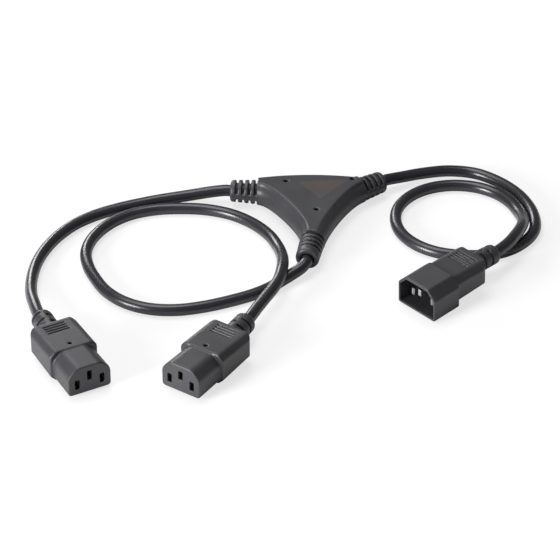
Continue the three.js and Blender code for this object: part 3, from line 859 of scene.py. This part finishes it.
def grained(name, dark, light, roughness, bump, fineness, slow, metallic=0.0):
    """A finish whose colour, gloss and relief follow the moulding grain.

    The bump is a strength and a height in metres.
    """
    material = bpy.data.materials.new(name)
    material.use_nodes = True
    tree = material.node_tree
    shader = tree.nodes["Principled BSDF"]
    shader.inputs["Metallic"].default_value = metallic
    where = node(tree, "ShaderNodeTexCoord", (-1100, 0))
    relief = node(tree, "ShaderNodeGroup", (-850, 0), node_tree=GRAIN)
    relief.inputs["Fineness"].default_value = fineness
    relief.inputs["Slow fineness"].default_value = slow
    tree.links.new(where.outputs["Object"], relief.inputs["Vector"])
    tint = value_range(tree, (-600, 250), relief.outputs["Unevenness"], UNEVENNESS)
    colour = colour_between(tree, (-350, 300), tint, dark, light)
    tree.links.new(colour, shader.inputs["Base Color"])
    gloss = value_range(tree, (-600, 0), relief.outputs["Unevenness"], UNEVENNESS, roughness)
    tree.links.new(gloss, shader.inputs["Roughness"])
    lift = node(tree, "ShaderNodeBump", (-350, -200))
    lift.inputs["Strength"].default_value = bump[0]
    lift.inputs["Distance"].default_value = bump[1]
    tree.links.new(relief.outputs["Height"], lift.inputs["Height"])
    tree.links.new(lift.outputs["Normal"], shader.inputs["Normal"])
    return material


GRAIN = grain_group()
# The range of the slow noise that carries a finish from dark to light
UNEVENNESS = (0.3, 0.7)
BLACK_PVC = (
    (0.026, 0.026, 0.030), (0.034, 0.034, 0.039), (0.40, 0.50), (0.35, 0.00006), 1800, 45,
)
MOULDED = grained("Moulded black PVC", *BLACK_PVC)
SPLITTER_PVC = grained("Y moulding PVC", *BLACK_PVC)
JACKET = grained(
    "Cord jacket", (0.014, 0.014, 0.018), (0.018, 0.018, 0.023), (0.26, 0.33),
    (0.05, 0.00002), 900, 60,
)
CARRIER = grained(
    "Carrier black", (0.012, 0.012, 0.013), (0.018, 0.018, 0.019), (0.5, 0.62),
    (0.2, 0.00005), 1500, 60,
)
NICKEL = grained(
    "Nickel plate", (0.42, 0.42, 0.41), (0.52, 0.52, 0.50), (0.26, 0.38),
    (0.1, 0.00002), 2500, 200, metallic=1.0,
)
# Brass painted far darker than real brass, as painted shade: the contacts behind the socket slots
# take the slots' deep shadow into their colour
BRASS_DARKENED_AS_SHADE = grained(
    "Contact brass darkened as painted shade", (0.10, 0.065, 0.025), (0.14, 0.09, 0.04), (0.45, 0.6),
    (0.1, 0.00002), 2500, 200, metallic=1.0,
)
CORE_COLOURS = {
    "live": ("Brown core", (0.12, 0.045, 0.015), (0.16, 0.06, 0.02)),
    "neutral": ("Blue core", (0.02, 0.11, 0.36), (0.03, 0.14, 0.42)),
    "earth": ("Green core", (0.16, 0.32, 0.03), (0.2, 0.38, 0.04)),
}
CORE_FINISHES = {
    wire: grained(*colours, (0.35, 0.45), (0.1, 0.00003), 900, 80)
    for wire, colours in CORE_COLOURS.items()
}

# Brown patch on the Y moulding, with heights and widths in metres. Only the raised top
# lies above the lowest height.
PATCH_COLOUR = (0.060, 0.042, 0.038)
PATCH_LOWEST = 0.0143
PATCH_EDGE = 0.0001
SPECKLE_FINENESS = 1100
SPECKLE_RANGE = (0.2, 0.6)
SPECKLE_SHARE = (0.25, 1)


def triangle_mask(tree, position, corners):
    """1 inside a triangle of (x, y) corners in millimetres, 0 outside it."""
    mask = None
    for start, end in zip(corners, (*corners[1:], corners[0])):
        inward = Vector((start[1] - end[1], end[0] - start[0], 0)).normalized()
        edge = inward.dot(Vector((*start, 0))) * MM
        reach = node(tree, "ShaderNodeVectorMath", (-1500, 800), operation="DOT_PRODUCT")
        reach.inputs[1].default_value = inward
        tree.links.new(position, reach.inputs[0])
        across = (edge - PATCH_EDGE, edge + PATCH_EDGE)
        side = value_range(tree, (-1300, 800), reach.outputs["Value"], across)
        mask = side if mask is None else product(tree, (-1100, 800), mask, side)
    return mask


def textured_patch(material):
    """A brown, finely speckled triangle on the level top of the Y moulding."""
    tree = material.node_tree
    shader = tree.nodes["Principled BSDF"]
    under = shader.inputs["Base Color"].links[0].from_socket
    where = node(tree, "ShaderNodeTexCoord", (-1700, 900))
    share = triangle_mask(tree, where.outputs["Object"], PATCH_CORNERS)
    parts = node(tree, "ShaderNodeSeparateXYZ", (-1500, 1100))
    tree.links.new(where.outputs["Object"], parts.inputs[0])
    above = node(tree, "ShaderNodeMath", (-1300, 1100), operation="GREATER_THAN")
    above.inputs[1].default_value = PATCH_LOWEST
    tree.links.new(parts.outputs["Z"], above.inputs[0])
    speckle = node(tree, "ShaderNodeTexVoronoi", (-1500, 1300))
    speckle.inputs["Scale"].default_value = SPECKLE_FINENESS
    tree.links.new(where.outputs["Object"], speckle.inputs["Vector"])
    dots = value_range(
        tree, (-1300, 1300), speckle.outputs["Distance"], SPECKLE_RANGE, SPECKLE_SHARE
    )
    for factor in (above.outputs[0], dots):
        share = product(tree, (-900, 900), share, factor)
    tint = node(tree, "ShaderNodeMix", (-200, 600), data_type="RGBA")
    tint.inputs["B"].default_value = (*PATCH_COLOUR, 1)
    tree.links.new(share, tint.inputs["Factor"])
    tree.links.new(under, tint.inputs["A"])
    tree.links.new(tint.outputs["Result"], shader.inputs["Base Color"])


textured_patch(SPLITTER_PVC)


def dress_cad_nodes():
    """Gives every node that stays from the model the finish of its piece."""
    for name, piece in frame["nodes"].items():
        if "_core_" in name or name.startswith("core_"):
            finish = CORE_FINISHES[name.rsplit("_", 1)[1]]
        elif "pin_carrier" in name or "contact_carrier" in name:
            finish = CARRIER
        elif "_pin_" in name:
            finish = NICKEL
        elif "contact" in name or name.startswith("splice_"):
            finish = BRASS_DARKENED_AS_SHADE
        elif name.startswith("cord_"):
            finish = JACKET
        else:
            finish = MOULDED
        for slot in piece.material_slots:
            slot.material = finish


dress_cad_nodes()


# Studio
SENSOR_WIDTH = 36
LENS = 178.3
SEEN_DEPTH = 10
EYE = Vector((-0.0185, -1.3369, 0.8217))
AIM = Vector((-0.0185, -0.076, 0))
FLOOR_HALF_SIZE = 4
FLOOR_COLOUR = (0.93, 0.93, 0.93, 1)
FLOOR_ROUGHNESS = 0.6
# The share of plain white in the floor as the camera sees it
FLOOR_WHITE_SHARE = 0.7
WHITE = (1, 1, 1, 1)
WORLD_LIGHT = 0.2
WORLD_SEEN = 1.0
# Name, place, what it is aimed at, width and height in metres, and watts
LAMPS = (
    ("key", (-1.4, -1.0, 0.5), (0, -0.08, 0), (0.6, 0.6), 44),
    ("top", (-0.3, 0.3, 1.5), (0, -0.06, 0), (1.2, 0.8), 16),
    ("rim", (-0.6, 1.3, 0.6), (0, -0.06, 0), (0.5, 0.4), 7),
)


def aimed(item, place, aim):
    item.location = place
    item.rotation_euler = (Vector(aim) - Vector(place)).to_track_quat("-Z", "Y").to_euler()


def camera():
    data = bpy.data.cameras.new("camera")
    data.sensor_width = SENSOR_WIDTH
    data.lens = LENS
    data.clip_end = SEEN_DEPTH
    scene.camera = link("camera", data)
    aimed(scene.camera, EYE, AIM)


def floor():
    bm = bmesh.new()
    bmesh.ops.create_grid(bm, x_segments=1, y_segments=1, size=FLOOR_HALF_SIZE)
    mesh = bpy.data.meshes.new("floor")
    bm.to_mesh(mesh)
    bm.free()
    piece = link("floor", mesh)
    material = bpy.data.materials.new("Studio floor")
    material.use_nodes = True
    tree = material.node_tree
    shader = tree.nodes["Principled BSDF"]
    shader.inputs["Base Color"].default_value = FLOOR_COLOUR
    shader.inputs["Roughness"].default_value = FLOOR_ROUGHNESS
    path = node(tree, "ShaderNodeLightPath", (-400, 300))
    share = node(tree, "ShaderNodeMath", (-200, 300), operation="MULTIPLY")
    share.inputs[1].default_value = FLOOR_WHITE_SHARE
    white = node(tree, "ShaderNodeEmission", (0, -300))
    mixer = node(tree, "ShaderNodeMixShader", (300, 0))
    tree.links.new(path.outputs["Is Camera Ray"], share.inputs[0])
    tree.links.new(share.outputs[0], mixer.inputs[0])
    tree.links.new(shader.outputs[0], mixer.inputs[1])
    tree.links.new(white.outputs[0], mixer.inputs[2])
    tree.links.new(mixer.outputs[0], tree.nodes["Material Output"].inputs["Surface"])
    piece.data.materials.append(material)


def world():
    """A soft light all round, which the camera sees as plain white."""
    backdrop = bpy.data.worlds.new("studio")
    scene.world = backdrop
    backdrop.use_nodes = True
    tree = backdrop.node_tree
    tree.nodes.clear()
    output = node(tree, "ShaderNodeOutputWorld", (400, 0))
    mixer = node(tree, "ShaderNodeMixShader", (200, 0))
    path = node(tree, "ShaderNodeLightPath", (0, 350))
    tree.links.new(path.outputs["Is Camera Ray"], mixer.inputs[0])
    for slot, strength in ((1, WORLD_LIGHT), (2, WORLD_SEEN)):
        sky = node(tree, "ShaderNodeBackground", (0, 150 - 150 * slot))
        sky.inputs["Color"].default_value = WHITE
        sky.inputs["Strength"].default_value = strength
        tree.links.new(sky.outputs[0], mixer.inputs[slot])
    tree.links.new(mixer.outputs[0], output.inputs[0])


def lamp(name, place, aim, size, energy):
    data = bpy.data.lights.new(name, "AREA")
    data.shape = "RECTANGLE"
    data.size, data.size_y = size
    data.energy = energy
    aimed(link(name, data), place, aim)


camera()
floor()
world()
for lamp_values in LAMPS:
    lamp(*lamp_values)
scene.view_settings.view_transform = "Standard"


# The object


finished(
    splitter_housing(), "splitter_moulding", Matrix.Identity(4), SPLITTER_PVC, "splitter_housing"
)
for name, place in PLACES.items():
    shape = plug_housing(place) if name == "plug" else socket_housing(place)
    finished(
        shape, f"{name}_moulding", place_frame(place), MOULDED, f"{name}_housing"
    )

CORDS = (
    ("cord_left", "left", "socket_left", SOCKET, 0.253, "connector"),
    ("cord_middle", "stem", "socket_middle", SOCKET, 0.462, "connector"),
    ("cord_plug", "right", "plug", PLUG, 0.454, "plug"),
)
for name, arm, connector, kind, length, far_end in CORDS:
    cord(name, ARMS[arm], kind, PLACES[connector], JACKET)
